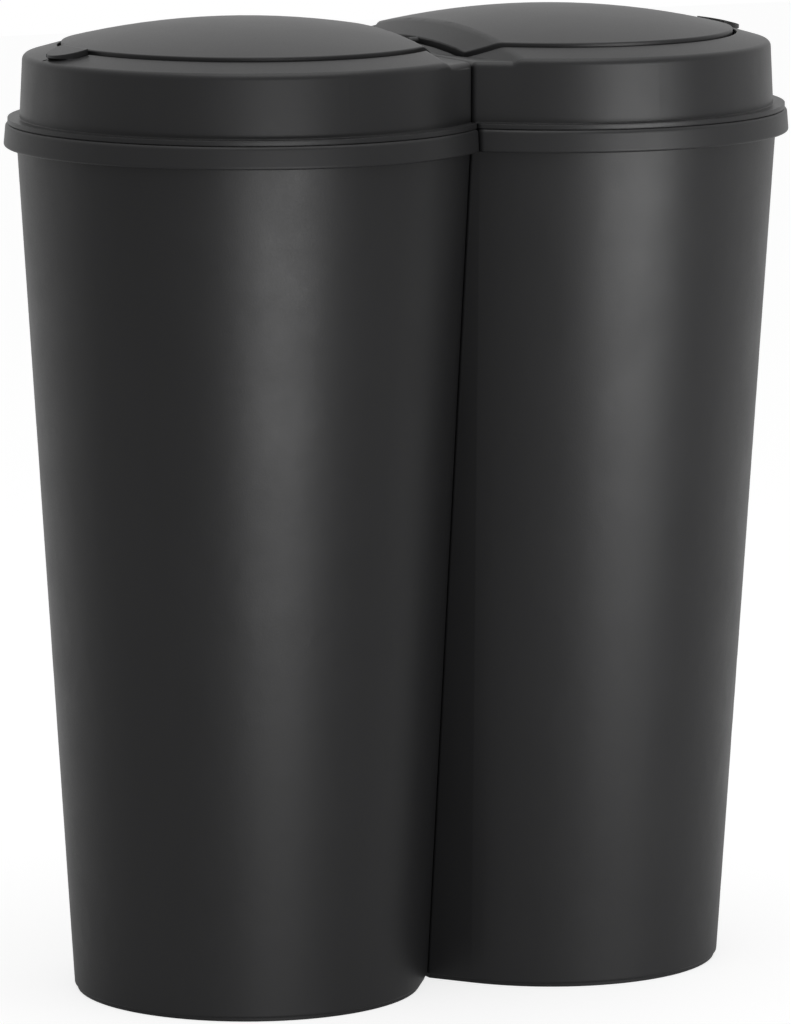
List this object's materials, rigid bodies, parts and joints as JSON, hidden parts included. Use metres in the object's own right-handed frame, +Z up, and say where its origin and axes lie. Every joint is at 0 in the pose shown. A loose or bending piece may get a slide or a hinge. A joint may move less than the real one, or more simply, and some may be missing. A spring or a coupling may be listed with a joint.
{
  "type": "double recycling bin",
  "caption": "Pair of tall tapered bins with D-shaped plans, joined flat side to flat side, each with a lift-off lid frame and a domed swing flap.",
  "frame": {"origin": "on the floor, in the middle of the pair, where the two flat faces meet", "axes": "+X along the pair, +Y to the back, +Z up"},
  "size_m": [0.5094, 0.2978, 0.6034],
  "materials": {
    "bin_plastic": "satin, fine moulded grain",
    "lid_plastic": "satin, fine moulded grain",
    "flap_plastic": "satin, fine moulded grain",
    "steel_bar": "drawn bar"
  },
  "bodies": {
    "left_bin": {"left_bin": "bin_plastic"},
    "left_lid": {"left_lid_frame": "lid_plastic"},
    "left_flap": {"left_flap": "flap_plastic", "left_counterweight": "steel_bar"},
    "right_bin": {"right_bin": "bin_plastic"},
    "right_lid": {"right_lid_frame": "lid_plastic"},
    "right_flap": {"right_flap": "flap_plastic", "right_counterweight": "steel_bar"}
  },
  "joints": [
    {"name": "right_bin_lift", "type": "slide", "parent": "left_bin", "child": "right_bin", "axis": [0, 0, 1], "range_m": [0, 0.026]},
    {"name": "left_lid_lift", "type": "slide", "parent": "left_bin", "child": "left_lid", "axis": [0, 0, 1], "range_m": [0, 0.12]},
    {"name": "right_lid_lift", "type": "slide", "parent": "right_bin", "child": "right_lid", "axis": [0, 0, 1], "range_m": [0, 0.12]},
    {"name": "left_flap_swing", "type": "hinge", "parent": "left_lid", "child": "left_flap", "pos_m": [-0.1058, 0, 0.5845], "axis": [1, 0, 0], "range_deg": [-80, 80]},
    {"name": "right_flap_swing", "type": "hinge", "parent": "right_lid", "child": "right_flap", "pos_m": [0.1058, 0, 0.5845], "axis": [1, 0, 0], "range_deg": [-80, 80]}
  ]
}
